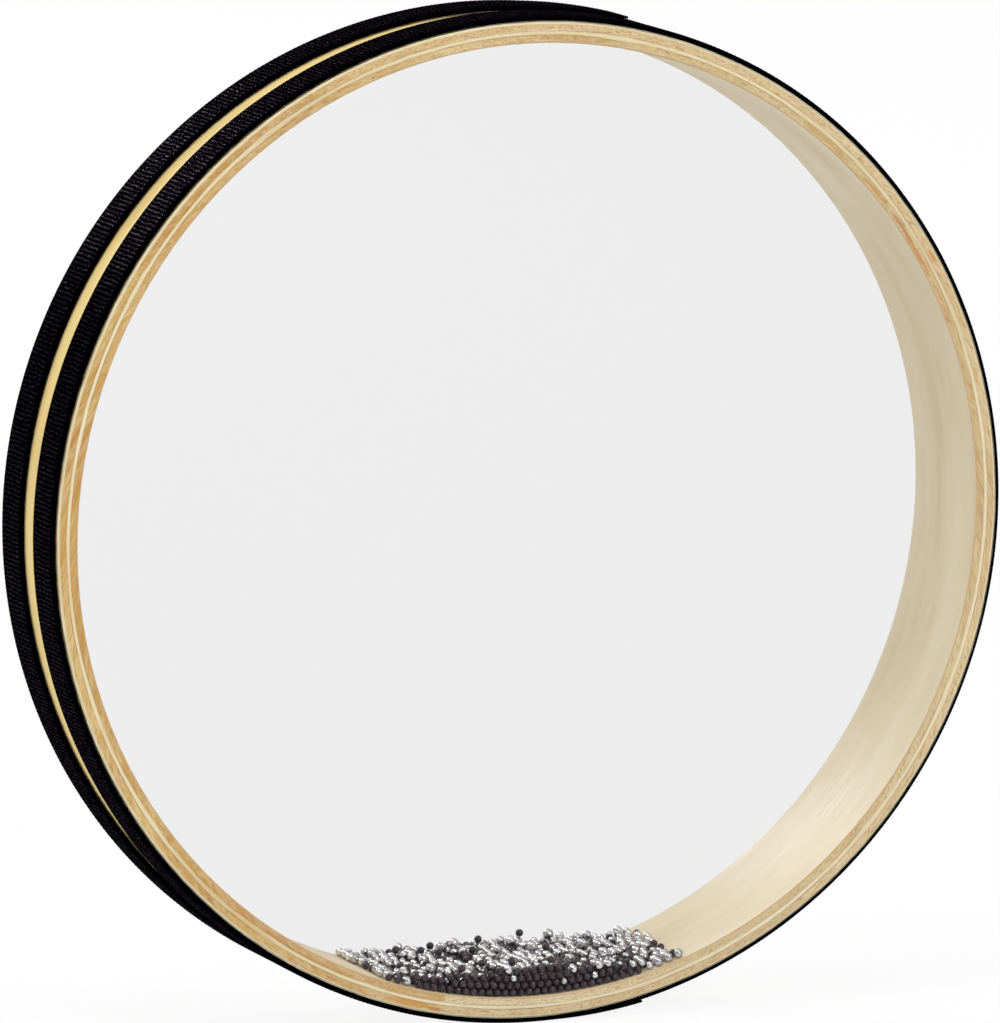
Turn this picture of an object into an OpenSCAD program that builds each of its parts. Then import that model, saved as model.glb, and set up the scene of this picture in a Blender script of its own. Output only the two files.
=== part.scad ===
// Ocean drum: a shallow plywood hoop closed by two clear film heads, with loose beads inside.
// The drum stands on its rim, its axis lies along Y, the front head faces -Y and +Z is up.
// The origin is the drum's centre, on its axis and halfway through its depth.

/* [Shell] */
// Radius over the outer face ply
shell_r = 152.1; // [100:0.1:220]
// Width of the bent plywood, from the front edge to the rear edge
shell_w = 47.8; // [42:0.1:90]
// Thickness of the outer face ply
outer_face_t = 0.5; // [0.45:0.05:1]
// Thickness of the outer core ply
outer_core_t = 2.1; // [1:0.05:4]
// Thickness of the centre ply
centre_t = 0.95; // [0.5:0.05:2]
// Thickness of the inner core ply
inner_core_t = 2.05; // [1:0.05:4]
// Thickness of the inner face ply
inner_face_t = 0.45; // [0.45:0.05:1]
// Thickness of the glue line between two plies
glue_line = 0.04; // [0.02:0.01:0.1]
// Width of the butt seam where a ply's two ends meet
seam_w = 0.25; // [0.1:0.05:1]
// Rounding of the rim's inner and outer edges
rim_round = 0.4; // [0.1:0.05:0.4]

/* [Heads] */
// Thickness of the clear film
film_t = 0.22; // [0.15:0.01:0.5]
// Thickness of the clear adhesive under the film
bond_t = 0.08; // [0.05:0.01:0.2]
// How far the film's folded edge lies back under the band's inner edge
collar_hide = 0.9; // [0.2:0.1:6]

/* [Bands] */
// Width of the woven band
band_w = 15.9; // [12:0.1:18]
// Thickness of the woven band
band_t = 1.7; // [1.2:0.1:2.5]
// Distance from the head's face to the band's outer edge
band_setback = 2.0; // [1:0.1:4]
// Thickness of the adhesive tape under the band
band_tape_t = 0.1; // [0.05:0.01:0.3]
// How far the tape's edges lie back under the band's edges
band_tape_hide = 0.3; // [0.1:0.1:2]
// Rounding of the band's woven edges
band_edge_r = 0.6; // [0.2:0.05:0.8]
// Length over which the band's end overlaps its start
lap_l = 30; // [15:1:60]
// Height of the overlapping end over the rest of the band
lap_lift = 0.85; // [0.3:0.05:1.5]
// Gap in the lap, between the end on top and the start under it
lap_gap = 0.06; // [0.03:0.01:0.1]

/* [Beads] */
// Diameter of a dark bead
dark_d = 2.4; // [2:0.1:3]
// Diameter of a large steel bead
large_steel_d = 3.4; // [2.6:0.1:4]
// Diameter of a middling steel bead
steel_d = 2.9; // [2.6:0.1:3.4]
// Diameter of a small steel bead
small_steel_d = 2.4; // [2:0.1:2.8]
// Least gap between two beads, and between a bead and the wall
bead_gap = 0.1; // [0.06:0.01:0.3]
// Height of the pile's top over the lowest point of the inside
pile_h = 9.8; // [7:0.1:16]
// Half of the pile's length
pile_half_l = 48.5; // [30:0.5:60]
// How far the pile's middle lies to the right of the lowest point
pile_shift = 1.2; // [0:0.1:3]
// Share of steel among the beads that cover the pile
steel_share = 0.62; // [0:0.02:1]
// How far that share swings between the pile's bright and dark patches
patch_swing = 0.3; // [0:0.05:0.4]

/* [Hidden] */

// Radii over the plies, from the outside in
outer_core_r = shell_r - outer_face_t - glue_line;
centre_r = outer_core_r - outer_core_t - glue_line;
inner_core_r = centre_r - centre_t - glue_line;
inner_face_r = inner_core_r - inner_core_t - glue_line;
inside_r = inner_face_r - inner_face_t;

// Angles of the butt seams, counted from +X towards +Z and staggered round the hoop
outer_face_seam = 12;
outer_core_seam = 148;
centre_seam = 62;
inner_core_seam = 236;
inner_face_seam = 180;

// The film lies on its adhesive, and both bend round the rim's rounded edge
bond_r = shell_r + bond_t;
film_r = bond_r + film_t;
bond_face = shell_w / 2 + bond_t;
head_face = bond_face + film_t;
flat_r = shell_r - rim_round;
collar_end = head_face - band_setback - band_w + collar_hide;

// The band lies on its tape, and the tape on the film's collar
tape_r = film_r + band_tape_t;
band_r = tape_r + band_t;
band_from = head_face - band_setback - band_w;

// Angles at which the bands' ends lie on top
front_lap_at = -76.4;
rear_lap_at = 74;
lap_turn = lap_l / band_r * 180 / PI;
square_turn = band_edge_r / band_r * 180 / PI;

// Plain overrun of a cut past the solid that it cuts
overrun = 1;

// The beads lie in slices side by side, and each slice is free to run round the hoop by itself
FRONT = 0;
MIDDLE = 1;
REAR = 2;
slices = 3;
slice_w = (2 * bond_face - 2 * bead_gap) / slices;
bed_rows = floor(slice_w / (dark_d + bead_gap));
cover_rows = floor(slice_w / (steel_d + bead_gap));
DARK = 0;
STEEL = 1;

// The bed's layers nest half a step apart and follow the curve of the wall
bed_step = dark_d + bead_gap;
bed_rise = bed_step * sin(60);
cover_depth_share = 0.85;
bed_top = inside_r - pile_h + cover_depth_share * steel_d;
bed_turn = bed_step / (bed_top + dark_d / 2) * 180 / PI;
bed_half = ceil(acos(bed_top / inside_r) / bed_turn) + 1;
bed_layers = ceil((inside_r - bed_top) / bed_rise);
bed_steel_share = 0.06;

// The cover's beads lie in uneven rows with uneven gaps, and the pile's ends are ragged
small_share = 0.55;
front_row_steel_share = 0.4;
loose_share = 0.14;
ragged_share = 0.04;
cover_step = (small_steel_d + steel_d + loose_share * dark_d) / 2 + bead_gap;
patch_l = 24;
patch_w = 60;
patch_at = 70;
dark_face_to = 31;

// A few beads lie on top of the cover, each in a stretch of its own
strays = 8;
stray_reach_share = 0.7;

// Places a form drawn in the plane of the hoop: its Z runs to the front, its X and Y are the part's X and Z
module in_hoop() {
    rotate([90, 0, 0]) children();
}

// The same, with what is drawn at the front moved to the rear if side is -1
module on_side(side) {
    in_hoop() mirror([0, 0, side > 0 ? 0 : 1]) children();
}

// A corner to be cut away, where the corner at [r, z] is rounded and the solid lies towards [dr, dz]
module corner_off(r, z, dr, dz, round) {
    difference() {
        translate([r + dr * round / 2, z + dz * round / 2]) square(round, center = true);
        translate([r + dr * round, z + dz * round]) circle(r = round, $fn = 48);
    }
}

// A section that runs in to the axis, flat on top, with its outer top corner rounded
module capped_section(r, low, high, round) {
    difference() {
        translate([0, low]) square([r, high - low]);
        corner_off(r, high, -1, -1, round);
    }
}

// One ply: a strip bent into a ring, its two ends a seam apart
module ply(r_out, t, seam_at, round_out = 0, round_in = 0) {
    turn = seam_w / r_out * 180 / PI;
    in_hoop()
        rotate(seam_at + turn / 2)
            rotate_extrude(angle = 360 - turn, $fn = 180)
                difference() {
                    translate([r_out - t, -shell_w / 2]) square([t, shell_w]);
                    for (dz = [-1, 1]) {
                        if (round_out > 0) corner_off(r_out, -dz * shell_w / 2, -1, dz, round_out);
                        if (round_in > 0) corner_off(r_out - t, -dz * shell_w / 2, 1, dz, round_in);
                    }
                }
}

module outer_face_ply() {
    color([0.90, 0.80, 0.60]) ply(shell_r, outer_face_t, outer_face_seam, round_out = rim_round);
}

module outer_core_ply() {
    color([0.80, 0.66, 0.45]) ply(outer_core_r, outer_core_t, outer_core_seam);
}

module centre_ply() {
    color([0.90, 0.80, 0.63]) ply(centre_r, centre_t, centre_seam);
}

module inner_core_ply() {
    color([0.79, 0.65, 0.44]) ply(inner_core_r, inner_core_t, inner_core_seam);
}

module inner_face_ply() {
    color([0.83, 0.77, 0.65]) ply(inner_face_r, inner_face_t, inner_face_seam, round_in = rim_round);
}

// The flat, sounding part of a head. side is 1 in front and -1 at the rear
module head(side) {
    color([0.93, 0.93, 0.93, 0.25])
        on_side(side) translate([0, 0, bond_face]) cylinder(r = flat_r, h = film_t, $fn = 180);
}

// The rim of a head: the film bends over the shell's edge and runs down its outside
module head_collar(side) {
    color([0.90, 0.90, 0.90, 0.3])
        on_side(side)
            rotate_extrude($fn = 180)
                difference() {
                    capped_section(film_r, collar_end, head_face, rim_round + bond_t + film_t);
                    capped_section(bond_r, collar_end - overrun, bond_face, rim_round + bond_t);
                    translate([0, collar_end]) square([flat_r, head_face - collar_end + overrun]);
                }
}

// Clear adhesive: a ring on the rim's face, with a leg down the outside under the collar
module head_adhesive(side) {
    color([0.95, 0.94, 0.88, 0.4])
        on_side(side)
            rotate_extrude($fn = 180)
                difference() {
                    capped_section(bond_r, collar_end, bond_face, rim_round + bond_t);
                    capped_section(shell_r, collar_end - overrun, shell_w / 2, rim_round);
                    translate([0, collar_end]) square([inner_face_r, bond_face - collar_end + overrun]);
                }
}

module front_head() { head(1); }

module rear_head() { head(-1); }

module front_head_collar() { head_collar(1); }

module rear_head_collar() { head_collar(-1); }

module front_head_adhesive() { head_adhesive(1); }

module rear_head_adhesive() { head_adhesive(-1); }

// A circle off centre, whose radius from the drum's axis rises steadily from r to r_end over the lap
module rising_circle(r, r_end, less = 0) {
    shift = (r_end - r) / (2 * sin(lap_turn / 2));
    translate([0, shift])
        circle(r = norm([(r + r_end) / 2, shift * cos(lap_turn / 2)]) - less, $fn = 360);
}

// The wedge between the lap's two ends
module lap_wedge() {
    reach = band_r + lap_lift + overrun;
    rise = reach * tan(lap_turn / 2);
    polygon([[0, 0], [reach, -rise], [reach, rise]]);
}

// The band's outline with its lap at +X: a ring, with its end in a long scarfed lap over its start
module band_outline() {
    difference() {
        union() {
            circle(r = band_r, $fn = 360);
            intersection() {
                rising_circle(band_r - lap_gap, band_r + lap_lift);
                lap_wedge();
            }
        }
        circle(r = tape_r, $fn = 360);
        intersection() {
            difference() {
                rising_circle(tape_r - lap_gap, band_r + 2 * lap_gap);
                rising_circle(tape_r - lap_gap, band_r + 2 * lap_gap, less = lap_gap);
            }
            lap_wedge();
        }
    }
}

// Woven band: one strip round the shell, with its outer edges rounded except in the lap. The end on top
// lies at end_at, and the lap runs from there against way
module band(side, end_at, way) {
    color([0.07, 0.07, 0.08])
        on_side(side)
            rotate(end_at - way * lap_turn / 2)
                mirror([0, way > 0 ? 0 : 1, 0])
                    difference() {
                        translate([0, 0, band_from]) linear_extrude(band_w) band_outline();
                        rotate(lap_turn / 2 + square_turn)
                            rotate_extrude(angle = 360 - lap_turn - 2 * square_turn, $fn = 180) {
                                corner_off(band_r, band_from, -1, 1, band_edge_r);
                                corner_off(band_r, band_from + band_w, -1, -1, band_edge_r);
                            }
                    }
}

module front_band() { band(1, front_lap_at, 1); }

module rear_band() { band(-1, rear_lap_at, -1); }

// Thin double-sided tape under a band
module band_tape(side) {
    color([0.85, 0.83, 0.75])
        on_side(side)
            rotate_extrude($fn = 180)
                translate([film_r, band_from + band_tape_hide])
                    square([band_tape_t, band_w - 2 * band_tape_hide]);
}

module front_band_tape() { band_tape(1); }

module rear_band_tape() { band_tape(-1); }

// A bead is [x, y, z, radius, kind]. Its height where it rests on the wall, at x
function on_wall(x, r) = -sqrt(pow(inside_r - bead_gap - r, 2) - x * x);

// Its height where it rests on bead b, or the wall's lowest point if it misses it
function on_bead(x, y, r, b) =
    let (
        reach = r + b[3] + bead_gap,
        over = reach * reach - pow(x - b[0], 2) - pow(y - b[1], 2)
    )
    over > 0 ? b[2] + sqrt(over) : -inside_r;

// Its height where it comes to rest when it is let down at x, y on the wall and the beads below
function seat(x, y, r, below) = max(concat([on_wall(x, r)], [for (b = below) on_bead(x, y, r, b)]));

// Where a row lies when a slice holds so many
function row_y(s, row, rows) = -bond_face + bead_gap + (s + (row + 0.5) / rows) * slice_w;

// One row of the bed: dark beads in nested layers, up to the bed's top, with a rare steel one
function bed_row(s, row) =
    let (
        y = row_y(s, row, bed_rows),
        wide = 2 * bed_half + 1,
        phase = rands(0, 1, 1, 10 * s + row)[0],
        lots = rands(0, 1, wide * bed_layers, 40 + 10 * s + row)
    )
    [
        for (k = [0 : bed_layers - 1], i = [0 : wide - 1])
            let (
                turn = (i - bed_half + phase + (k % 2) / 2) * bed_turn,
                rho = inside_r - bead_gap - dark_d / 2 - k * bed_rise,
                z = -rho * cos(turn)
            )
            if (z + dark_d / 2 < -bed_top)
                [rho * sin(turn), y, z, dark_d / 2, lots[k * wide + i] < bed_steel_share ? STEEL : DARK]
    ];

// Share of steel in the cover at a place. Bright and dark patches lie slantwise across the pile
function steel_part(x, y) =
    steel_share + patch_swing * sin(360 * (x / patch_l + y / patch_w) + patch_at) * cos(360 * y / patch_w);

// One row of the cover: beads of all sizes but the largest side by side, each let down on the bed
function cover_row(s, row, bed) =
    let (
        y = row_y(s, row, cover_rows),
        most = ceil(2 * pile_half_l / small_steel_d) + 2,
        seed = 80 + 10 * s + row,
        lots = rands(0, 1, most, seed),
        loose = rands(0, loose_share * dark_d, most, seed + 40),
        sway = rands(-0.5, 0.5, most, seed + 160),
        ends = rands(1 - ragged_share, 1, 2, seed + 80),
        face = s == FRONT && row == 0 ? front_row_steel_share : 1,
        shares = [
            for (n = [0 : most - 1])
                let (x = n * cover_step - pile_half_l)
                    (x < dark_face_to ? face : 1) * steel_part(x, y)
        ],
        radii = [
            for (n = [0 : most - 1])
                (lots[n] < shares[n] * small_share ? small_steel_d : lots[n] < shares[n] ? steel_d : dark_d) / 2
        ],
        xs = [
            for (
                n = 0, x = pile_shift - pile_half_l * ends[0];
                n < most - 1 && x < pile_shift + pile_half_l * ends[1];
                x = x + radii[n] + radii[n + 1] + bead_gap + loose[n], n = n + 1
            ) x
        ],
        ys = [for (n = [0 : len(xs) - 1]) y + sway[n] * (slice_w / cover_rows - 2 * radii[n] - bead_gap)],
        near = [for (b = bed) if (abs(b[1] - y) < steel_d + bead_gap) b]
    )
    [
        for (n = [0 : len(xs) - 1])
            [xs[n], ys[n], seat(xs[n], ys[n], radii[n], near), radii[n], lots[n] < shares[n] ? STEEL : DARK]
    ];

// The strays on top of a slice's cover
function stray_beads(s, below) =
    let (
        stretch = 2 * stray_reach_share * pile_half_l / strays,
        room = stretch - large_steel_d - bead_gap,
        side_room = slice_w - large_steel_d - bead_gap,
        lots = rands(0, 1, 3 * strays, 260 + s)
    )
    [
        for (n = [0 : strays - 1])
            let (
                x = pile_shift + (n + 0.5 - strays / 2) * stretch + (lots[n] - 0.5) * room,
                y = row_y(s, 0, 1) + (lots[n + strays] - 0.5) * side_room,
                kind = lots[n + 2 * strays] < steel_share ? STEEL : DARK,
                r = (kind == DARK ? dark_d : n % 2 == 0 ? large_steel_d : steel_d) / 2
            )
            [x, y, seat(x, y, r, below), r, kind]
    ];

// All beads of a slice
function slice_beads(s) =
    let (
        bed = [for (row = [0 : bed_rows - 1]) each bed_row(s, row)],
        cover = [for (row = [0 : cover_rows - 1]) each cover_row(s, row, bed)]
    )
    concat(bed, cover, stray_beads(s, concat(bed, cover)));

module beads(s, kind) {
    for (b = slice_beads(s))
        if (b[4] == kind)
            translate([b[0], b[1], b[2]]) sphere(r = b[3], $fn = 16);
}

module dark_beads(s) {
    color([0.25, 0.21, 0.23]) beads(s, DARK);
}

module steel_beads(s) {
    color([0.76, 0.76, 0.78]) beads(s, STEEL);
}

module front_dark_beads() { dark_beads(FRONT); }

module middle_dark_beads() { dark_beads(MIDDLE); }

module rear_dark_beads() { dark_beads(REAR); }

module front_steel_beads() { steel_beads(FRONT); }

module middle_steel_beads() { steel_beads(MIDDLE); }

module rear_steel_beads() { steel_beads(REAR); }

outer_face_ply();
outer_core_ply();
centre_ply();
inner_core_ply();
inner_face_ply();
front_head();
rear_head();
front_head_collar();
rear_head_collar();
front_head_adhesive();
rear_head_adhesive();
front_band();
rear_band();
front_band_tape();
rear_band_tape();
front_dark_beads();
middle_dark_beads();
rear_dark_beads();
front_steel_beads();
middle_steel_beads();
rear_steel_beads();
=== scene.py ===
"""The looks of an ocean drum: plywood hoop, clear film heads, woven black bands, loose beads.

Lengths are in metres. The drum's axis lies along Y, its front head faces -Y, and it stands on
its rim. Angles round the hoop are counted from +X towards +Z, as seen from the front.
"""

import math
from collections import namedtuple

import bpy
import numpy as np
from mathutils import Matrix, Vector


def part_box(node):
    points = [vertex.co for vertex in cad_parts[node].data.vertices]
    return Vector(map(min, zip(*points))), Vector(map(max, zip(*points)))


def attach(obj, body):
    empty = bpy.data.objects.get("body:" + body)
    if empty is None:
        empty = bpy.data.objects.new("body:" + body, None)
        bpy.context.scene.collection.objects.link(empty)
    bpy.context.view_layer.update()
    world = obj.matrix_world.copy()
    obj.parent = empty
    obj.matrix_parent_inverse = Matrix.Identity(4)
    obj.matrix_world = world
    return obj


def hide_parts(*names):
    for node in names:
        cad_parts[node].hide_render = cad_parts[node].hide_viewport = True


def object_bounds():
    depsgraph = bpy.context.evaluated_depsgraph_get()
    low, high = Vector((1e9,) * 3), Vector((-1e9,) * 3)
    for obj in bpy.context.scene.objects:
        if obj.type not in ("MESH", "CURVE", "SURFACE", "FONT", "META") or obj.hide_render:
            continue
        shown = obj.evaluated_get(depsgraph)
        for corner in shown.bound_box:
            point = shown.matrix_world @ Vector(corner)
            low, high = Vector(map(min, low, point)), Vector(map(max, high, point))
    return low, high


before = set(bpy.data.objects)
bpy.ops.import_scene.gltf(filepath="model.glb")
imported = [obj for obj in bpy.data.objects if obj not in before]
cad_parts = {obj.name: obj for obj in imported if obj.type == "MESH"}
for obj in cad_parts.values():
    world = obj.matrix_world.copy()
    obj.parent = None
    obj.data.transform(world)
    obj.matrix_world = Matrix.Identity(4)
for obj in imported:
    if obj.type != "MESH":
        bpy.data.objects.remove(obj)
cad_low, cad_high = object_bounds()

MM = 0.001


def box_of(node):
    """Lowest and highest corners of a node."""
    low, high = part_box(node)
    return Vector(low), Vector(high)


# Sizes taken from the frame
PLIES = ("outer_face_ply", "outer_core_ply", "centre_ply", "inner_core_ply", "inner_face_ply")
SIDES = {"front": -1, "rear": 1}
SLICES = ("front", "middle", "rear")
shell_r = box_of("outer_face_ply")[1].z
mid_r = box_of("centre_ply")[1].z
hoop_half_w = box_of("centre_ply")[1].y

# The camera stands where the photograph's view fixes it
CAMERA_AZIMUTH = math.radians(-21.218)
CAMERA_ELEVATION = math.radians(8.868)
CAMERA_DISTANCE = 3.6576
CAMERA_LENS_MM = 423.0
CAMERA_CLIP = (0.1, 100)
SENSOR_MM = 36.0
IMAGE_W, IMAGE_H = 1000, 1023
ORIGIN_PX = (505.1, 511.5)

# The surround's light, and what reflections show of it: dim in front, bright above and behind
WORLD_LIGHT = 0.7
ROOM_LIGHT = 0.35
SKY_LIGHT = 0.9
SKY_LEAN = (0, 0.5, 0.87)
SKY_FROM, SKY_TO = 0.4, 0.8

# The floor, and how white it looks to the camera and in reflections
FLOOR_R = 14.0
FLOOR_CORNERS = 96
FLOOR_GREY = (0.8, 0.8, 0.8)
FLOOR_WHITE = 0.9
FLOOR_MIRRORED = 0.3

# The lamps: name, place, width, power, and whether reflections show the lamp
LAMPS = (
    ("key", (1.3, -3.2, 2.2), 1.0, 58.0, True),
    ("fill", (-2.4, -2.6, 0.2), 1.4, 24.0, False),
    ("top", (-1.0, -0.4, 2.8), 1.2, 26.0, True),
    ("back", (-0.45, 2.9, 1.15), 0.5, 34.0, True),
)

# The plies' butt seams, as in the frame: their angles, and the gap's width
SEAMS = {
    "outer_face_ply": 12, "outer_core_ply": 148, "centre_ply": 62,
    "inner_core_ply": 236, "inner_face_ply": 180,
}
SEAM_W = 0.25 * MM
INNER_PLY_T = 0.45 * MM

# The glue lies back from the gap's sides, from the wood round it, and from the rounded rim
SEAM_CLEARANCE = 0.01 * MM
SEAM_BACK = 0.05 * MM
SEAM_BACK_AT_RIM = 0.5 * MM
BOX_FACES = ((0, 2, 3, 1), (4, 5, 7, 6), (0, 1, 5, 4), (2, 6, 7, 3), (0, 4, 6, 2), (1, 3, 7, 5))

# The film's thickness and the clearance of its layers, and the steps of its fold and its circle
FILM_T = 0.22 * MM
LAYER_GAP = 0.01 * MM
FOLD_R = 0.7 * MM
RIM_CORNER = 0.4 * MM
FOLD_STEPS = 6
TURN_STEPS = 288

# Rings of the flat film, as shares of the radius at which its fold starts
FLAT_RINGS = (0.0, 0.4, 0.8, 0.97)

# The webbing's weave, and the share of light that a stitch's sheen throws back
RIBS_PER_TURN = 678
RIB_HEIGHT = 0.17 * MM
RIB_STEPS = 4
YARN_PITCH = 0.62 * MM
ACROSS_STEPS = 22
CORNER_STEPS = 4
CORNER_R = 0.55 * MM
THREAD_GLOSS = 0.055
CLOTH_GLOSS = 0.0006

# How the weave sways, in mm along and across the band and by how many ribs, the twists of a
# thread across a yarn and along a rib, and its strokes of light: length in mm, and rows to a rib
SWAY_ALONG, SWAY_ACROSS, SWAY_RIBS = 7.0, 3.5, 0.9
TWIST_ACROSS, TWIST_ALONG = 3.1, 4.3
STROKE_LENGTH, STROKE_ROWS = 0.55, 1.4

# The lap of each band, as in the frame: the angle at which its end lies on top, and which way
# the band runs to there
LAPS = {"front": (math.radians(-76.4), 1), "rear": (math.radians(74.0), -1)}
LAP_LENGTH = 30 * MM
LAP_LIFT = 0.85 * MM
LAP_GAP = 0.06 * MM
FEATHER = 0.12 * MM
THINNEST = 0.3 * FEATHER

# Rings and sides of the ball that stands for each bead, and the frame's vertices for a bead
BALL_RINGS = 9
BALL_SIDES = 14
FRAME_BEAD_VERTS = 457


def srgb(r, g, b):
    """A colour from its 0-255 values, as a shader takes it."""
    def linear(v):
        v /= 255
        return v / 12.92 if v <= 0.04045 else ((v + 0.055) / 1.055) ** 2.4
    return linear(r), linear(g), linear(b)


# Wood colours, as the photograph shows them lit. Each set is dark, main and light
GOLDEN = (srgb(198, 144, 68), srgb(213, 167, 90), srgb(226, 191, 122))
BEIGE = (srgb(212, 178, 132), srgb(225, 197, 152), srgb(234, 214, 176))
HONEY = (srgb(208, 168, 110), srgb(222, 192, 138), srgb(235, 214, 168))
PALE = (srgb(230, 202, 148), srgb(246, 228, 182), srgb(252, 240, 206))
INSIDE = (srgb(213, 195, 162), srgb(220, 206, 176), srgb(225, 213, 186))
OUTSIDE = (srgb(220, 192, 126), srgb(229, 205, 139), srgb(237, 217, 156))
# The outer face ply's pale edge: partly its own cut edge, partly a painted highlight of the
# film's fold over it
FACE_EDGE_AND_HIGHLIGHT = srgb(242, 226, 182)
INNER_EDGE = srgb(200, 166, 116)
KNOT = srgb(188, 104, 60)
ORANGE = srgb(218, 152, 84)
AMBER = srgb(218, 166, 88)
GLUE = srgb(146, 110, 66)

# The other colours
# The film's whitened fold: partly the crease's own milky whitening, partly a painted highlight
# where the fold catches the light
WHITENED_AND_HIGHLIGHT = srgb(252, 242, 216)
# The webbing's black, and the plum painted into it as a highlight on the stitches that catch the
# light
CLOTH_BLACK, PAINTED_GLINT_PLUM = srgb(1, 0, 2), srgb(9, 6, 10)
THREAD = srgb(240, 218, 246)
TAPE_WHITE, TAPE_GREY = srgb(214, 208, 190), srgb(190, 182, 160)
DRY_GLUE, GLUE_DUST = srgb(196, 152, 94), srgb(214, 178, 124)

# The wood's grain and the film's creases, as noise: size in mm along the hoop and across it,
# shift of the draw, and fineness
GRAIN = {
    "core drift": (46, 9, 0, 3.0),
    "core slow": (90, 60, 3, 1.0),
    "core fine": (2.6, 0.9, 7, 4.0),
    "core pores": (0.9, 0.45, 13, 2.0),
    "core dashes": (1.6, 0.3, 17, 1.0),
    "core wave": (24, 400, 43, 2.0),
    "core patches": (30, 400, 59, 2.0),
    "long drift": (60, 16, 0, 3.0),
    "long lines": (26, 0.55, 5, 4.0),
    "long hair": (6, 0.22, 11, 2.0),
    "long flecks": (3.4, 0.35, 19, 1.0),
    "long ragged": (9, 1.4, 31, 4.0),
    "film creases": (9, 500, 0, 3.0),
}

# Where a drift of noise shows a wood's dark, main and light tone
CORE_STOPS = (0.30, 0.48, 0.68)
LONG_STOPS = (0.32, 0.5, 0.68)

# Marks in the core plies' front edges: degrees, radius, half length and half width in mm,
# colour, and share of the colour. Then, how much their outlines wander
OUTER_MARKS = (
    (-105.0, 150.4, 12.0, 1.4, AMBER, 1.0),
    (-102.2, 150.9, 3.2, 0.6, KNOT, 0.5),
    (29.8, 150.7, 3.0, 0.9, ORANGE, 0.8),
    (-96.0, 150.2, 2.0, 0.35, KNOT, 0.5),
    (-116.0, 150.6, 2.4, 0.4, KNOT, 0.4),
    (14.0, 150.2, 4.0, 0.5, ORANGE, 0.5),
)
INNER_MARKS = (
    (70.6, 148.2, 3.6, 0.4, KNOT, 0.7),
    (34.2, 147.2, 9.0, 0.8, KNOT, 0.65),
    (40.6, 147.3, 6.5, 0.9, ORANGE, 0.7),
    (31.0, 146.9, 8.0, 0.8, ORANGE, 0.9),
    (24.0, 147.2, 9.0, 0.8, ORANGE, 0.5),
    (50.0, 147.4, 14.0, 0.9, GOLDEN[1], 0.7),
    (-127.0, 147.0, 12.0, 0.5, ORANGE, 0.4),
    (172.0, 147.3, 8.0, 0.5, GOLDEN[0], 0.5),
    (140.0, 147.5, 6.0, 0.6, ORANGE, 0.5),
)
MARK_WANDER = 1.3

# Degrees at which one veneer strip of the inner core meets the next, paler one, half the width
# of the change, and from where to where the strips' own colours fade, counted from the joint
VENEER_JOINT = -101.2
JOINT_BLUR = 0.15
AMBER_FROM, AMBER_TO = -45, -8
PALE_FROM, PALE_TO = 8, 70


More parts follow.
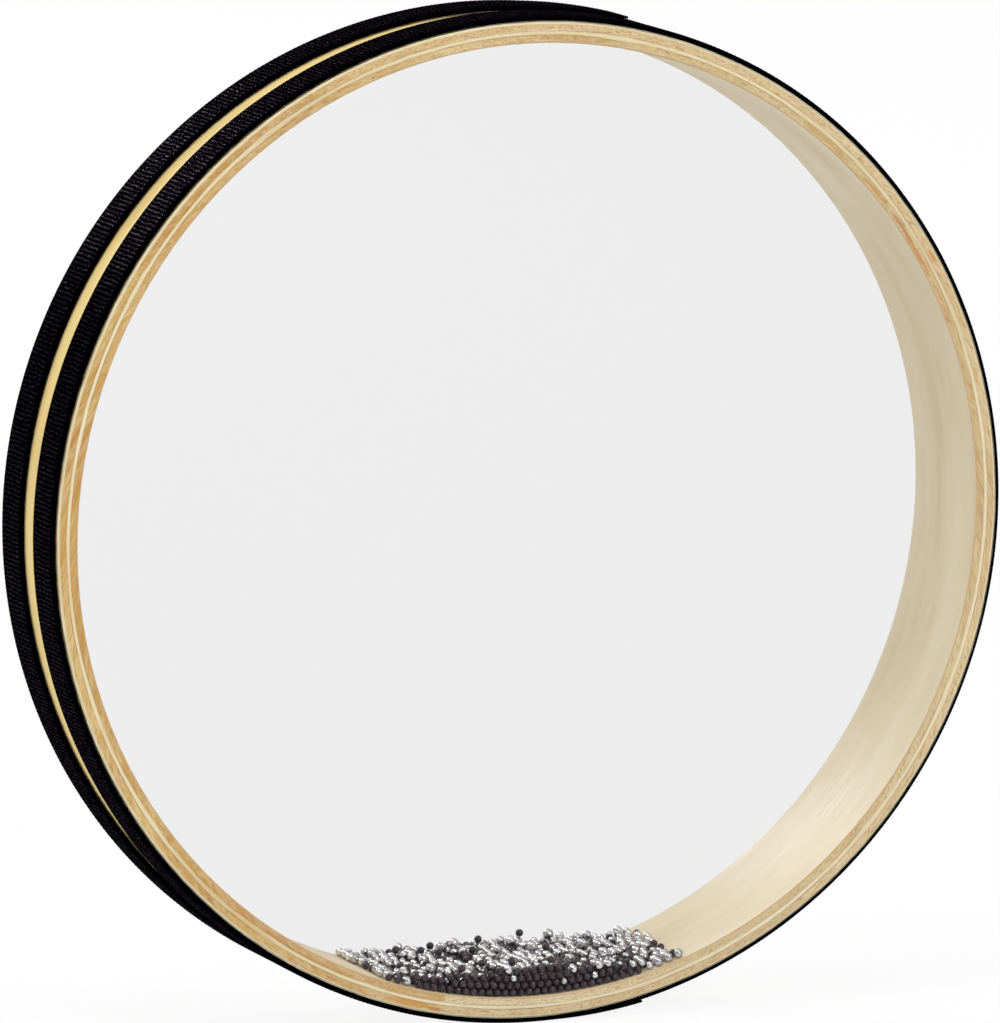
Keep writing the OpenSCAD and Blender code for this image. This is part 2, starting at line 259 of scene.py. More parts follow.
class Tree:
    """A short way to write the nodes of a material, or of the world."""

    def __init__(self, name, of_world=False):
        self.block = (bpy.data.worlds if of_world else bpy.data.materials).new(name)
        self.block.use_nodes = True
        self.tree = self.block.node_tree
        self.tree.nodes.clear()
        self.out = self.node("OutputWorld" if of_world else "OutputMaterial")

    def node(self, kind, **settings):
        """Adds a node."""
        made = self.tree.nodes.new("ShaderNode" + kind)
        for key, value in settings.items():
            setattr(made, key, value)
        return made

    def put(self, socket, value):
        """Sets a socket to a number or colour, or links it to another socket."""
        if isinstance(value, bpy.types.NodeSocket):
            self.tree.links.new(value, socket)
        elif isinstance(value, (tuple, list)) and len(value) == 3 and socket.type == "RGBA":
            socket.default_value = (*value, 1)
        else:
            socket.default_value = value

    def math(self, operation, *values):
        """One step of arithmetic."""
        made = self.node("Math", operation=operation)
        for i, value in enumerate(values):
            self.put(made.inputs[i], value)
        return made.outputs[0]

    def plus(self, a, b):
        return self.math("ADD", a, b)

    def minus(self, a, b):
        return self.math("SUBTRACT", a, b)

    def times(self, a, b):
        return self.math("MULTIPLY", a, b)

    def over(self, a, b):
        return self.math("DIVIDE", a, b)

    def length(self, a, b):
        """The length of two parts at right angles."""
        return self.math("SQRT", self.plus(self.times(a, a), self.times(b, b)))

    def dot(self, vector, way):
        """How far a vector reaches in a fixed way."""
        made = self.node("VectorMath", operation="DOT_PRODUCT")
        self.put(made.inputs[0], vector)
        made.inputs[1].default_value = way
        return made.outputs["Value"]

    def vector(self, x, y, z):
        """A vector from its three parts."""
        made = self.node("CombineXYZ")
        for i, value in enumerate((x, y, z)):
            self.put(made.inputs[i], value)
        return made.outputs[0]

    def split(self, vector):
        """The three parts of a vector."""
        made = self.node("SeparateXYZ")
        self.put(made.inputs[0], vector)
        return made.outputs

    def span(self, value, low, high, to_low=0.0, to_high=1.0):
        """Maps low..high to to_low..to_high, clamped."""
        made = self.node("MapRange")
        for i, number in enumerate((value, low, high, to_low, to_high)):
            self.put(made.inputs[i], number)
        return made.outputs[0]

    def choose(self, share, a, b):
        """Blends two numbers."""
        made = self.node("Mix")
        for i, value in ((0, share), (2, a), (3, b)):
            self.put(made.inputs[i], value)
        return made.outputs[0]

    def mix(self, share, a, b):
        """Blends two colours."""
        made = self.node("Mix", data_type="RGBA")
        for i, value in ((0, share), (6, a), (7, b)):
            self.put(made.inputs[i], value)
        return made.outputs[2]

    def tint(self, colour, other, value, low, high, share):
        """Turns a colour into another, by up to a share, as a value goes from low to high."""
        return self.mix(self.span(value, low, high, 0.0, share), colour, other)

    def mix_shaders(self, share, a, b):
        """Blends two shaders."""
        made = self.node("MixShader")
        for i, value in enumerate((share, a, b)):
            self.put(made.inputs[i], value)
        return made.outputs[0]

    def ramp(self, value, *stops):
        """A smooth colour ramp through stops of (place, colour)."""
        made = self.node("ValToRGB")
        ramp = made.color_ramp
        ramp.interpolation = "EASE"
        while len(ramp.elements) > 1:
            ramp.elements.remove(ramp.elements[-1])
        for i, (place, colour) in enumerate(stops):
            element = ramp.elements[0] if i == 0 else ramp.elements.new(place)
            element.position = place
            element.color = (*colour, 1)
        self.put(made.inputs[0], value)
        return made.outputs[0]

    def noise(self, where, detail=2.0, roughness=0.5, scale=1.0):
        """Cloudy noise from 0 to 1."""
        made = self.node("TexNoise")
        self.put(made.inputs["Vector"], where)
        for key, value in (("Scale", scale), ("Detail", detail), ("Roughness", roughness)):
            made.inputs[key].default_value = value
        return made.outputs["Fac"]

    def bump(self, height, distance, strength=1.0):
        """A surface normal tilted by a height."""
        made = self.node("Bump")
        made.inputs["Strength"].default_value = strength
        made.inputs["Distance"].default_value = distance
        self.put(made.inputs["Height"], height)
        return made.outputs["Normal"]

    def shader(self, kind, **values):
        """A shader, with values for its sockets."""
        made = self.node(kind)
        for key, value in values.items():
            self.put(made.inputs[key.replace("_", " ")], value)
        return made.outputs[0]

    def principled(self, **values):
        return self.shader("BsdfPrincipled", **values)

    def object_place(self):
        """A point's place in the part."""
        return self.node("TexCoord").outputs["Object"]

    def finish(self, shader):
        """Ends the tree with a shader, and gives the material or world."""
        self.put(self.out.inputs["Surface"], shader)
        return self.block


# A point's arc length round the hoop, radius and place along the axis in mm, and its place
HoopPlace = namedtuple("HoopPlace", "arc radius y where")


def hoop_place(t):
    """Sockets for a point's place on the hoop."""
    where = t.object_place()
    x, y, z = t.split(where)
    arc = t.times(t.math("ARCTAN2", z, x), mid_r / MM)
    return HoopPlace(arc, t.over(t.length(x, z), MM), t.over(y, MM), where)


def grain(t, place, kind, seed):
    """Noise without a seam round the hoop, drawn out along it. It is read on the circle itself,
    so that its two ends meet."""
    along, across, shift, detail = GRAIN[kind]
    x, y, z = t.split(place.where)
    radius = t.length(x, z)
    around_x = t.times(t.over(x, radius), mid_r / MM / along)
    around_z = t.times(t.over(z, radius), mid_r / MM / along)
    across_y = t.times(y, 1 / MM / across)
    across_r = t.times(radius, 1 / MM / across)
    spot = t.vector(around_x, t.plus(across_y, seed + shift), t.plus(around_z, across_r))
    return t.noise(spot, detail=detail)


def mark(t, place, degrees, r_mm, long_mm, wide_mm, ragged):
    """A mask for a ragged oval mark in the hoop's cut edge, drawn out along the hoop."""
    turn = math.radians(degrees)
    sideways = t.dot(place.where, (-math.sin(turn), 0, math.cos(turn)))
    outwards = t.dot(place.where, (math.cos(turn), 0, math.sin(turn)))
    along = t.over(sideways, long_mm * MM)
    across = t.over(t.minus(place.radius, r_mm), wide_mm)
    reach = t.math("MULTIPLY_ADD", t.minus(ragged, 0.5), MARK_WANDER,
                   t.length(along, across))
    return t.times(t.span(reach, 0.45, 1.0, 1.0, 0.0), t.math("GREATER_THAN", outwards, 0.0))


def veneer_joint(t, place, joint, colour):
    """Colours a core ply round the joint of two veneer strips, which is amber before it and
    pale after it."""
    degrees = t.over(place.arc, mid_r / MM * math.pi / 180)
    after = t.span(degrees, joint - JOINT_BLUR, joint + JOINT_BLUR)
    before = t.span(degrees, joint - JOINT_BLUR, joint + JOINT_BLUR, 1.0, 0.0)
    amber = t.times(t.span(degrees, joint + AMBER_FROM, joint + AMBER_TO, 0.0, 0.7), before)
    pale = t.times(after, t.span(degrees, joint + PALE_FROM, joint + PALE_TO, 0.8, 0.0))
    return t.mix(pale, t.mix(amber, colour, AMBER), PALE[1])


def core_wood(name, seed, wavy_edge, edge_mm, left, right, marks, joint=None):
    """A core ply, cut across its fibres: specks and pores, long drifts of colour, a few knots.
    wavy_edge is -1 if the pale centre ply eats into its inner edge at edge_mm, and 1 if into its
    outer edge. left and right are its tones on the hoop's two halves."""
    t = Tree(name)
    place = hoop_place(t)
    drift = grain(t, place, "core drift", seed)
    slow = grain(t, place, "core slow", seed)
    fine = grain(t, place, "core fine", seed)
    pores = grain(t, place, "core pores", seed)
    dashes = grain(t, place, "core dashes", seed)
    sides = t.split(place.where)
    rightness = t.math("MULTIPLY_ADD", t.minus(slow, 0.5), 0.12, sides[0])
    tones = [t.ramp(drift, *zip(CORE_STOPS, tone)) for tone in (left, right)]
    colour = t.mix(t.span(rightness, -0.11, 0.0), *tones)
    if joint is not None:
        colour = veneer_joint(t, place, joint, colour)
    colour = t.tint(colour, PALE[1], fine, 0.40, 0.66, 0.42)
    colour = t.tint(colour, left[0], pores, 0.52, 0.66, 0.65)
    colour = t.tint(colour, GLUE, dashes, 0.62, 0.72, 0.65)
    for degrees, r_mm, long_mm, wide_mm, tint, share in marks:
        oval = mark(t, place, degrees, r_mm, long_mm, wide_mm, fine)
        colour = t.mix(t.times(oval, share), colour, tint)

    # The border with the centre ply wanders, and shows glue here and there
    wave = grain(t, place, "core wave", seed)
    depth = t.times(t.minus(place.radius, edge_mm), -wavy_edge)
    reach = t.span(wave, 0.42, 0.72, -0.05, 0.5)
    off_border = t.math("ABSOLUTE", t.minus(depth, reach))
    patchy = t.span(grain(t, place, "core patches", seed), 0.38, 0.62, 0.25, 0.8)
    colour = t.mix(t.span(t.minus(reach, depth), -0.02, 0.04), colour, PALE[1])
    colour = t.mix(t.times(t.span(off_border, 0.05, 0.2, 0.9, 0.0), patchy), colour, GLUE)
    height = t.plus(fine, t.times(pores, 0.6))
    return t.finish(t.principled(
        Base_Color=colour, Roughness=t.span(fine, 0.3, 0.7, 0.55, 0.72), Specular_IOR_Level=0.25,
        Normal=t.bump(height, 0.05 * MM),
    ))


def long_wood(name, seed, tones, edge=None, roughness=0.5, frayed=None):
    """A ply whose fibres run round the hoop: fine lines along it, and slow drifts of colour.
    edge is the colour at its edges, at the hoop's two faces, if that looks different: the cut
    edge, and on the outer face ply also a painted highlight of the film's fold over it.
    frayed is the ply's two radii and the colour of the plies beside it, whose fibres eat into
    its borders."""
    dark, _, light = tones
    t = Tree(name)
    place = hoop_place(t)
    drift = grain(t, place, "long drift", seed)
    lines = grain(t, place, "long lines", seed)
    hair = grain(t, place, "long hair", seed)
    flecks = grain(t, place, "long flecks", seed)
    colour = t.ramp(drift, *zip(LONG_STOPS, tones))
    colour = t.tint(colour, light, lines, 0.40, 0.66, 0.35)
    colour = t.tint(colour, dark, hair, 0.56, 0.72, 0.22)
    colour = t.tint(colour, dark, flecks, 0.68, 0.76, 0.3)
    # The ply's edge at the hoop's faces: the cut edge's colour, and for the outer face ply also
    # a painted highlight of the film's fold
    if edge is not None:
        half_w = hoop_half_w / MM
        cut = t.span(t.math("ABSOLUTE", place.y), half_w - 0.5, half_w - 0.15)
        colour = t.mix(t.times(cut, t.span(lines, 0.3, 0.7, 0.95, 0.7)), colour, edge)
    if frayed is not None:
        low, high, beside = frayed
        ragged = grain(t, place, "long ragged", seed)
        depth = t.math("MINIMUM", t.minus(place.radius, low), t.minus(high, place.radius))
        eaten = t.minus(t.span(ragged, 0.38, 0.66, 0.02, 0.42), depth)
        colour = t.tint(colour, beside, eaten, -0.05, 0.07, 0.85)
    return t.finish(t.principled(
        Base_Color=colour, Specular_IOR_Level=0.15,
        Roughness=t.span(lines, 0.3, 0.7, roughness - 0.06, roughness + 0.08),
        Normal=t.bump(t.plus(lines, t.times(hair, 0.5)), 0.03 * MM),
    ))


def clear_film(name, pass_share, gloss_share, fold_haze_and_highlight=0.0):
    """Clear sheet: what is behind shows through, with a faint, slightly scuffed reflection.
    Where it is folded sharply over the rim's corner it is whitened, by the share
    fold_haze_and_highlight: partly the crease's own milky whitening, partly a painted highlight
    of the fold catching the light."""
    t = Tree(name)
    place = hoop_place(t)
    scuffs = t.noise(place.where, detail=2.0, scale=60.0, roughness=0.62)
    through = t.shader("BsdfTransparent", Color=(pass_share,) * 3)
    gloss = t.shader("BsdfAnisotropic", Color=(1.0, 1.0, 1.0),
                     Roughness=t.span(scuffs, 0.3, 0.7, 0.06, 0.16))
    fresnel = t.shader("Fresnel", IOR=1.5)
    shine = t.mix_shaders(t.times(fresnel, gloss_share), through, gloss)
    if not fold_haze_and_highlight:
        return t.finish(shine)
    # A white haze on the fold: partly the crease's own whitening, partly a painted highlight of
    # the fold catching the light
    half_w, corner = hoop_half_w / MM, shell_r / MM
    at_face = t.span(t.math("ABSOLUTE", place.y), half_w - 0.45, half_w - 0.15)
    folded = t.times(t.span(place.radius, corner - 0.1, corner + 0.15), at_face)
    creases = t.span(grain(t, place, "film creases", 71.0), 0.35, 0.65, 0.3, 1.0)
    share = t.times(t.times(folded, creases), fold_haze_and_highlight)
    return t.finish(t.mix_shaders(share, shine, t.shader("BsdfDiffuse", Color=WHITENED_AND_HIGHLIGHT)))


def webbing(name):
    """Black woven webbing. The mesh has the ribs, and this adds the yarns that float over them
    in short stitches, which catch the light, and paints a faint plum highlight into the black on
    those stitches."""
    t = Tree(name)
    place = hoop_place(t)
    sway = t.vector(t.over(place.arc, SWAY_ALONG), t.over(place.y, SWAY_ACROSS), 9.0)
    sway = t.noise(sway, detail=1.0)
    row = t.times(place.arc, RIBS_PER_TURN / (2 * math.pi * mid_r / MM))
    row = t.math("MULTIPLY_ADD", t.minus(sway, 0.5), SWAY_RIBS, row)
    column = t.times(place.y, MM / YARN_PITCH)

    # Yarns side by side, each over and under the ribs in turn, with a twist in the thread
    in_column = t.minus(t.math("FRACT", column), 0.5)
    crown = t.minus(1.0, t.times(t.times(in_column, in_column), 4.0))
    odd = t.math("FLOORED_MODULO", t.math("FLOOR", column), 2.0)
    phase = t.times(t.plus(row, odd), math.pi)
    on_top = t.math("MULTIPLY_ADD", t.math("COSINE", phase), 0.5, 0.5)
    twist = t.vector(t.times(column, TWIST_ACROSS), t.times(row, TWIST_ALONG), 0.0)
    twist = t.noise(twist, detail=2.0)
    height = t.times(crown, t.math("MULTIPLY_ADD", on_top, 0.65, 0.35))
    height = t.math("MULTIPLY_ADD", twist, 0.35, height)

    # Broken strokes along the ribs' crests, but not on the band's two edges. They make the
    # threads shine there, and also paint a faint plum highlight into the black
    crest = t.math("COSINE", t.times(t.plus(row, 0.5), 2 * math.pi))
    strokes = t.vector(t.over(place.y, STROKE_LENGTH), t.times(row, STROKE_ROWS), 3.0)
    strokes = t.noise(strokes, detail=2.0, roughness=0.8)
    stitch_gloss_and_painted_glint = t.times(t.span(crest, -0.2, 0.7), t.span(strokes, 0.50, 0.61))
    facing = t.split(t.node("TexCoord").outputs["Normal"])
    stitch_gloss_and_painted_glint = t.times(stitch_gloss_and_painted_glint, t.span(t.math("ABSOLUTE", facing[1]), 0.3, 0.6, 1.0, 0.0))
    # The black takes a painted plum highlight on the stitches' strokes
    cloth = t.principled(
        Base_Color=t.mix(stitch_gloss_and_painted_glint, CLOTH_BLACK, PAINTED_GLINT_PLUM), Roughness=0.6,
        Specular_IOR_Level=0.0, Normal=t.bump(height, 0.2 * MM),
    )
    thread = t.shader("BsdfAnisotropic", Color=THREAD, Roughness=0.18,
                      Normal=t.bump(height, 0.12 * MM))
    sheen = t.math("MULTIPLY_ADD", stitch_gloss_and_painted_glint, THREAD_GLOSS, CLOTH_GLOSS)
    return t.finish(t.mix_shaders(sheen, cloth, thread))


def steel(name, tint, dull, roughness, metal, scuffed, edge):
    """A bead's metal. Each bead is a little different, with fine marks from rolling.
    scuffed is how far its marks are dull, and edge how much it mirrors at its outline."""
    t = Tree(name)
    where = t.object_place()
    each = t.node("NewGeometry").outputs["Random Per Island"]
    marks = t.noise(where, detail=3.0, scale=900.0, roughness=0.6)
    dents = t.noise(where, detail=1.0, scale=420.0)
    colour = t.tint(t.mix(each, tint, dull), dull, marks, 0.55, 0.75, scuffed)
    own = t.span(each, 0.0, 1.0, roughness, roughness + 0.08)
    return t.finish(t.principled(
        Base_Color=colour, Metallic=metal, Specular_Tint=(*edge, 1.0),
        Roughness=t.plus(t.span(marks, 0.3, 0.7, -0.03, 0.05), own),
        Normal=t.bump(dents, 0.08 * MM, strength=0.4),
    ))


def plain_tape(name):
    """Thin double-sided tape, off-white, with faint creases."""
    t = Tree(name)
    creases = t.noise(t.object_place(), detail=4.0, scale=160.0)
    colour = t.tint(TAPE_WHITE, TAPE_GREY, creases, 0.4, 0.7, 0.4)
    normal = t.bump(creases, 0.02 * MM)
    return t.finish(t.principled(Base_Color=colour, Roughness=0.6, Normal=normal))


def wood_glue(name):
    """Dried wood glue with sanding dust in it."""
    t = Tree(name)
    dust = t.noise(t.object_place(), detail=3.0, scale=700.0)
    colour = t.mix(t.span(dust, 0.35, 0.65), DRY_GLUE, GLUE_DUST)
    normal = t.bump(dust, 0.03 * MM)
    return t.finish(t.principled(Base_Color=colour, Roughness=0.5, Normal=normal))


def dress(node, material):
    """Gives a CAD node a material."""
    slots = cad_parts[node].data.materials
    slots.clear()
    slots.append(material)


def make_piece(name, verts, faces, material, body):
    """A smooth visual piece that rides on a body."""
    mesh = bpy.data.meshes.new(name)
    mesh.from_pydata(verts.tolist(), [], faces)
    mesh.update()
    mesh.polygons.foreach_set("use_smooth", [True] * len(mesh.polygons))
    mesh.materials.append(material)
    piece = bpy.data.objects.new(name, mesh)
    bpy.context.scene.collection.objects.link(piece)
    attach(piece, body)
    return piece


def turned_over(faces, turn):
    """The faces with their other side out, or as they are."""
    return [face[::-1] for face in faces] if turn else faces


def band_radii(turn, lap, tape_r, band_r):
    """The band's inner and outer radius along its length, and where it lies under its end."""
    thick = band_r - tape_r
    start_share = np.clip(turn / lap, 0, 1)
    end_share = np.clip((turn - 2 * math.pi) / lap, 0, 1)
    slit = tape_r + (thick + LAP_GAP) * end_share
    inner = np.where(end_share > 0, slit + LAP_GAP, tape_r)
    under = start_share < 1
    rising = tape_r + FEATHER + (thick - FEATHER) * start_share
    below_slit = tape_r + (thick + LAP_GAP) * start_share - LAP_GAP + FEATHER
    outer = np.where(under, np.minimum(rising, below_slit), band_r + LAP_LIFT * end_share)
    return inner, outer, under


def band_section(low_y, high_y):
    """The band's outside, from one edge to the other: places along the axis, and how far each
    lies below the crown."""
    bends = [0.5 * math.pi * i / CORNER_STEPS for i in range(CORNER_STEPS, -1, -1)]
    corner = [(low_y + CORNER_R * (1 - math.sin(a)), -CORNER_R * (1 - math.cos(a)))
              for a in bends]
    flat_w = high_y - low_y - 2 * CORNER_R
    flat = [(low_y + CORNER_R + flat_w * i / ACROSS_STEPS, 0.0) for i in range(1, ACROSS_STEPS)]
    mirrored = [(low_y + high_y - y, drop) for y, drop in corner[::-1]]
    return np.array(corner + flat + mirrored).T


def add_band(side, material):
    """One band: a ribbed strip bent round the hoop, with its end rising over its own start."""
    node = f"{side}_band"
    low, high = box_of(node)
    band_r = max(-low.x, high.x)
    tape_r = box_of(f"{side}_band_tape")[1].z
    end_at, way = LAPS[side]
    lap = LAP_LENGTH / band_r
    step = 2 * math.pi / RIBS_PER_TURN / RIB_STEPS
    rings = int(round((2 * math.pi + lap) / step)) + 1
    turn = np.arange(rings) * step
    turn[-1] = 2 * math.pi + lap
    inner, outer, under = band_radii(turn, lap, tape_r, band_r)
    angle = end_at - way * lap + way * turn
    rib = 0.5 - 0.5 * np.cos(angle * RIBS_PER_TURN)
    rib = np.where(under, 0.0, RIB_HEIGHT * (1 - np.sqrt(rib)))[:, None]

    # Round the section: across the outside, then back along the inside
    ys, drops = band_section(low.y, high.y)
    drop_share = np.minimum(1.0, (outer - inner) / (2 * CORNER_R))
    r = outer[:, None] + drops * drop_share[:, None] - rib * (drops == 0)
    r = np.maximum(r - 0.5 * rib * (drops != 0), inner[:, None] + THINNEST)
    all_r = np.concatenate([r, np.repeat(inner[:, None], 2, axis=1)], axis=1)
    all_y = np.broadcast_to(np.concatenate([ys, [high.y, low.y]]), all_r.shape)
    x = all_r * np.cos(angle)[:, None]
    z = all_r * np.sin(angle)[:, None]
    verts = np.stack([x, all_y, z], axis=2).reshape(-1, 3)

    count = len(ys) + 2
    faces = []
    for i in range(rings - 1):
        a, b = i * count, (i + 1) * count
        for j in range(count):
            k = (j + 1) % count
            faces.append((a + j, a + k, b + k, b + j))
    faces.append(tuple(reversed(range(count))))
    faces.append(tuple((rings - 1) * count + j for j in range(count)))
    faces = turned_over(faces, way > 0)
    piece = make_piece(f"{side}_band_webbing", verts, faces, material, "shell")
    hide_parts(node)


def lathe(profile, closed_on_axis):
    """Vertices and faces of a section turned round the drum's axis. The section is a list of
    (radius, y) in order. If it is closed on the axis, its first and last points lie there."""
    body = profile[1:-1] if closed_on_axis else profile
    rows = len(body)
    angle = 2 * math.pi * np.arange(TURN_STEPS) / TURN_STEPS
    r, y = np.array(body).T
    x = np.cos(angle)[:, None] * r
    z = np.sin(angle)[:, None] * r
    verts = np.stack([x, np.broadcast_to(y, x.shape), z], axis=2).reshape(-1, 3)
    steps = [(i * rows, (i + 1) % TURN_STEPS * rows) for i in range(TURN_STEPS)]
    faces = []
    for a, b in steps:
        faces += [(a + j, a + j + 1, b + j + 1, b + j) for j in range(rows - 1)]
        if not closed_on_axis:
            faces.append((a + rows - 1, a, b, b + rows - 1))
    if closed_on_axis:
        first, last = len(verts), len(verts) + 1
        verts = np.concatenate([verts, [(0, profile[0][1], 0), (0, profile[-1][1], 0)]])
        for a, b in steps:
            faces += [(first, a, b), (a + rows - 1, last, b + rows - 1)]
    return verts, faces


def fold(bend_r, centre_r, centre_y, sign):
    """Points of a quarter bend round the rim, from the flat face to the hoop's outside."""
    turns = [0.5 * math.pi * i / FOLD_STEPS for i in range(FOLD_STEPS + 1)]
    return [(centre_r + bend_r * math.sin(a), centre_y + sign * bend_r * math.cos(a))
            for a in turns]


def fold_over(piece, material):
    """Gives the part of a piece that lies on the rim's corner a material of its own."""
    mesh = piece.data
    mesh.materials.append(material)
    centres = np.empty(3 * len(mesh.polygons))
    mesh.polygons.foreach_get("center", centres)
    centres = centres.reshape(-1, 3)
    at_corner = np.hypot(centres[:, 0], centres[:, 2]) > shell_r - FOLD_R
    mesh.polygons.foreach_set("material_index", at_corner.astype(np.int32))
    mesh.update()


def add_head(side, film, film_fold, glue, glue_fold):
    """One head: a single sheet of film with its folded collar, on a thin ring of adhesive."""
    sign = SIDES[side]
    low, high = box_of(f"{side}_head_collar")
    end_y, face_y = (sign * y for y in sorted((abs(low.y), abs(high.y))))
    out_r = high.z
    bend_r, bend_y = out_r - FOLD_R, face_y - sign * FOLD_R
    flat = [share * bend_r for share in FLAT_RINGS]
    section = [(r, face_y) for r in flat] + fold(FOLD_R, bend_r, bend_y, sign)
    section += [(out_r, end_y), (out_r - FILM_T, end_y)]
    section += fold(FOLD_R - FILM_T, bend_r, bend_y, sign)[::-1]
    section += [(r, face_y - sign * FILM_T) for r in flat[::-1]]
    verts, faces = lathe(section, True)
    faces = turned_over(faces, sign > 0)
    piece = make_piece(f"{side}_film", verts, faces, film, "shell")
    fold_over(piece, film_fold)
    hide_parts(f"{side}_head", f"{side}_head_collar")

    rim_in = box_of("inner_face_ply")[1].z
    top = fold(FOLD_R - FILM_T - LAYER_GAP, bend_r, bend_y, sign)
    base = fold(RIM_CORNER + LAYER_GAP, bend_r, bend_y, sign)
    section = [(rim_in, top[0][1])] + top + [(top[-1][0], end_y), (base[-1][0], end_y)]
    section += base[::-1] + [(rim_in, base[0][1])]
    verts, faces = lathe(section, False)
    faces = turned_over(faces, sign > 0)
    piece = make_piece(f"{side}_film_adhesive", verts, faces, glue, "shell")
    fold_over(piece, glue_fold)
    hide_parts(f"{side}_head_adhesive")


def add_seam_glue(material):
    """The glue that fills the plies' butt seams, a little below the wood round it."""
    radii = [box_of(node)[1].z for node in PLIES]
    radii.append(box_of("inner_face_ply")[1].z - INNER_PLY_T)
    half = 0.5 * SEAM_W - SEAM_CLEARANCE
    verts, faces = [], []
    for node, high_r, low_r in zip(PLIES, radii, radii[1:]):
        turn = math.radians(SEAMS[node])
        out = Vector((math.cos(turn), 0, math.sin(turn)))
        side = Vector((-math.sin(turn), 0, math.cos(turn)))
        at_rim = node in ("outer_face_ply", "inner_face_ply")
        end_y = hoop_half_w - (SEAM_BACK_AT_RIM if at_rim else SEAM_BACK)
        base = len(verts)
        for r in (low_r + SEAM_BACK, high_r - SEAM_BACK):
            for s in (-half, half):
                for y in (-end_y, end_y):
                    verts.append(tuple(out * r + side * s + Vector((0, y, 0))))
        faces += [tuple(base + k for k in quad) for quad in BOX_FACES]
    piece = make_piece("hoop_seam_glue", np.array(verts), faces, material, "shell")
    for polygon in piece.data.polygons:
        polygon.use_smooth = False


def ball():
    """A unit ball's vertices and faces."""
    verts = [(0, 0, 1)]
    for i in range(1, BALL_RINGS):
        lat = math.pi * i / BALL_RINGS
        for j in range(BALL_SIDES):
            lon = 2 * math.pi * j / BALL_SIDES
            verts.append((math.sin(lat) * math.cos(lon), math.sin(lat) * math.sin(lon),
                          math.cos(lat)))
    verts.append((0, 0, -1))
    faces = [(0, 1 + j, 1 + (j + 1) % BALL_SIDES) for j in range(BALL_SIDES)]
    for i in range(BALL_RINGS - 2):
        a = 1 + i * BALL_SIDES
        for j in range(BALL_SIDES):
            k = (j + 1) % BALL_SIDES
            faces.append((a + j, a + BALL_SIDES + j, a + BALL_SIDES + k, a + k))
    end, a = len(verts) - 1, 1 + (BALL_RINGS - 2) * BALL_SIDES
    faces += [(a + (j + 1) % BALL_SIDES, a + j, end) for j in range(BALL_SIDES)]
    return np.array(verts), faces


def random_turn(rng):
    """A turn about a random axis, as a 3 x 3 matrix."""
    q = rng.normal(size=4)
    w, x, y, z = q / np.linalg.norm(q)
    return np.array([
        [1 - 2 * (y * y + z * z), 2 * (x * y - z * w), 2 * (x * z + y * w)],
        [2 * (x * y + z * w), 1 - 2 * (x * x + z * z), 2 * (y * z - x * w)],
        [2 * (x * z - y * w), 2 * (y * z + x * w), 1 - 2 * (x * x + y * y)],
    ])


def bead_places(node):
    """Centre and radius of each bead in a node."""
    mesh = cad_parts[node].data
    corners = np.empty(len(mesh.vertices) * 3)
    mesh.vertices.foreach_get("co", corners)
    beads = corners.reshape(-1, FRAME_BEAD_VERTS, 3)
    low, high = beads.min(1), beads.max(1)
    return (low + high) / 2, (high - low).max(1) / 2


def add_beads(part, kind, material):
    """The beads of one slice of the pile, each at its place in the frame."""
    node = f"{part}_{kind}_beads"
    centres, radii = bead_places(node)
    unit, unit_faces = ball()
    rng = np.random.default_rng(len(centres))
    verts, faces = [], []
    for i, (centre, radius) in enumerate(zip(centres, radii)):
        verts.append(centre + radius * (unit @ random_turn(rng).T))
        faces += [tuple(i * len(unit) + k for k in face) for face in unit_faces]
    verts = np.concatenate(verts)
    piece = make_piece(f"{part}_{kind}_shot", verts, faces, material,
                       f"{part}_beads")
    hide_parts(node)


def make_camera():
    """The camera, at the photograph's viewing angle."""
    data = bpy.data.cameras.new("camera")
    camera = bpy.data.objects.new("camera", data)
    bpy.context.scene.collection.objects.link(camera)
    back = Vector((
        math.sin(CAMERA_AZIMUTH) * math.cos(CAMERA_ELEVATION),
        -math.cos(CAMERA_AZIMUTH) * math.cos(CAMERA_ELEVATION),
        math.sin(CAMERA_ELEVATION),
    ))
    camera.location = back * CAMERA_DISTANCE
    camera.rotation_mode = "QUATERNION"
    camera.rotation_quaternion = (-back).to_track_quat("-Z", "Y")
    data.lens = CAMERA_LENS_MM
    data.sensor_width = SENSOR_MM
    data.shift_x = -(ORIGIN_PX[0] - IMAGE_W / 2) / IMAGE_H
    data.shift_y = (ORIGIN_PX[1] - IMAGE_H / 2) / IMAGE_H
    data.clip_start, data.clip_end = CAMERA_CLIP
    bpy.context.scene.camera = camera


def make_world():
    """A white surround. What shines reflects a bright sky above and behind the drum, and the
    dimmer room in front of it."""
    t = Tree("studio", of_world=True)
    bpy.context.scene.world = t.block
    way = t.node("TexCoord").outputs["Generated"]
    mirrored = t.span(t.dot(way, SKY_LEAN), SKY_FROM, SKY_TO, ROOM_LIGHT, SKY_LIGHT)
    ray = t.node("LightPath").outputs
    light = t.choose(ray["Is Glossy Ray"], WORLD_LIGHT, mirrored)
    light = t.choose(ray["Is Camera Ray"], light, 1.0)
    t.finish(t.shader("Background", Strength=light, Color=(1.0, 1.0, 1.0)))


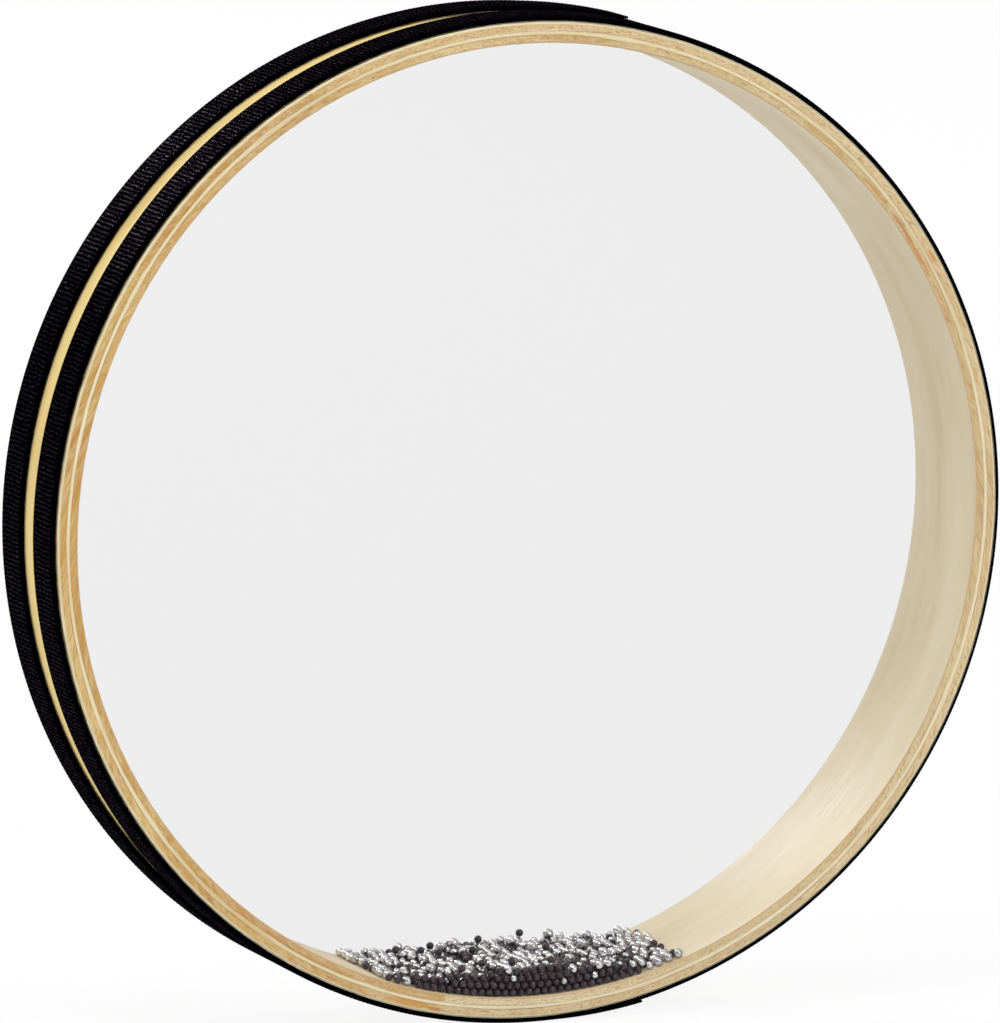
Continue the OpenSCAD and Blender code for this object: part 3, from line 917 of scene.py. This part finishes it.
def make_floor():
    """A plain pale floor that keeps the drum's shadow. It is less white in reflections."""
    mesh = bpy.data.meshes.new("floor")
    turns = [2 * math.pi * i / FLOOR_CORNERS for i in range(FLOOR_CORNERS)]
    ring = [(FLOOR_R * math.cos(a), FLOOR_R * math.sin(a), cad_low.z) for a in turns]
    mesh.from_pydata(ring, [], [tuple(range(FLOOR_CORNERS))])
    floor = bpy.data.objects.new("floor", mesh)
    bpy.context.scene.collection.objects.link(floor)
    t = Tree("floor")
    ray = t.node("LightPath").outputs
    whiteness = t.times(ray["Is Glossy Ray"], FLOOR_MIRRORED)
    whiteness = t.math("MULTIPLY_ADD", ray["Is Camera Ray"], FLOOR_WHITE, whiteness)
    lit = t.shader("BsdfDiffuse", Color=FLOOR_GREY)
    white = t.shader("Emission", Color=(1.0, 1.0, 1.0))
    mesh.materials.append(t.finish(t.mix_shaders(whiteness, lit, white)))


def make_lamps():
    """Soft round studio lamps that look at the drum's centre."""
    for name, place, width, power, mirrored in LAMPS:
        data = bpy.data.lights.new(name, "AREA")
        data.shape = "DISK"
        data.size = width
        data.energy = power
        lamp = bpy.data.objects.new(name, data)
        lamp.location = place
        lamp.visible_glossy = mirrored
        lamp.rotation_mode = "QUATERNION"
        lamp.rotation_quaternion = Vector(place).to_track_quat("Z", "Y")
        bpy.context.scene.collection.objects.link(lamp)


def add_hoop():
    """The five plies and the glue in their seams."""
    outer_edge = box_of("centre_ply")[1].z / MM
    inner_edge = box_of("inner_core_ply")[1].z / MM
    woods = {
        "outer_face_ply": long_wood("face_wood", 3.0, OUTSIDE, edge=FACE_EDGE_AND_HIGHLIGHT, roughness=0.72),
        "outer_core_ply": core_wood("outer_core_wood", 21.0, -1, outer_edge, GOLDEN, BEIGE,
                                    OUTER_MARKS),
        "centre_ply": long_wood("centre_wood", 57.0, PALE,
                                frayed=(inner_edge, outer_edge, HONEY[2])),
        "inner_core_ply": core_wood("inner_core_wood", 83.0, 1, inner_edge, GOLDEN, HONEY,
                                    INNER_MARKS, joint=VENEER_JOINT),
        "inner_face_ply": long_wood("inner_wood", 111.0, INSIDE, edge=INNER_EDGE),
    }
    for node, material in woods.items():
        dress(node, material)
    add_seam_glue(wood_glue("wood_glue"))


def add_heads():
    """Both heads with their adhesive, and the tape under the bands."""
    film_looks = {"pass_share": 0.96, "gloss_share": 0.08}
    glue_looks = {"pass_share": 0.995, "gloss_share": 0.1}
    film = clear_film("clear_film", **film_looks)
    film_fold = clear_film("clear_film_fold", **film_looks, fold_haze_and_highlight=0.6)
    glue = clear_film("clear_adhesive", **glue_looks)
    glue_fold = clear_film("clear_adhesive_fold", **glue_looks, fold_haze_and_highlight=0.5)
    tape = plain_tape("band_tape")
    for side in SIDES:
        dress(f"{side}_head", film)
        dress(f"{side}_head_collar", film)
        dress(f"{side}_head_adhesive", glue)
        dress(f"{side}_band_tape", tape)
        add_head(side, film, film_fold, glue, glue_fold)


def add_bands():
    """Both woven bands."""
    cloth = webbing("webbing")
    for side in SIDES:
        dress(f"{side}_band", cloth)
        add_band(side, cloth)


def add_pile():
    """The steel and dark beads of the pile's three slices."""
    metals = {
        "steel": steel("bright_steel", srgb(250, 249, 251), srgb(198, 196, 200), roughness=0.13,
                       metal=1.0, scuffed=0.35, edge=(0.35, 0.35, 0.36)),
        "dark": steel("dark_steel", srgb(60, 45, 52), srgb(40, 30, 36), roughness=0.22,
                      metal=0.0, scuffed=0.5, edge=(1.0, 1.0, 1.0)),
    }
    for part in SLICES:
        for kind, metal in metals.items():
            dress(f"{part}_{kind}_beads", metal)
            add_beads(part, kind, metal)


bpy.context.scene.view_settings.view_transform = "Standard"
make_camera()
make_world()
make_floor()
make_lamps()
add_hoop()
add_heads()
add_bands()
add_pile()
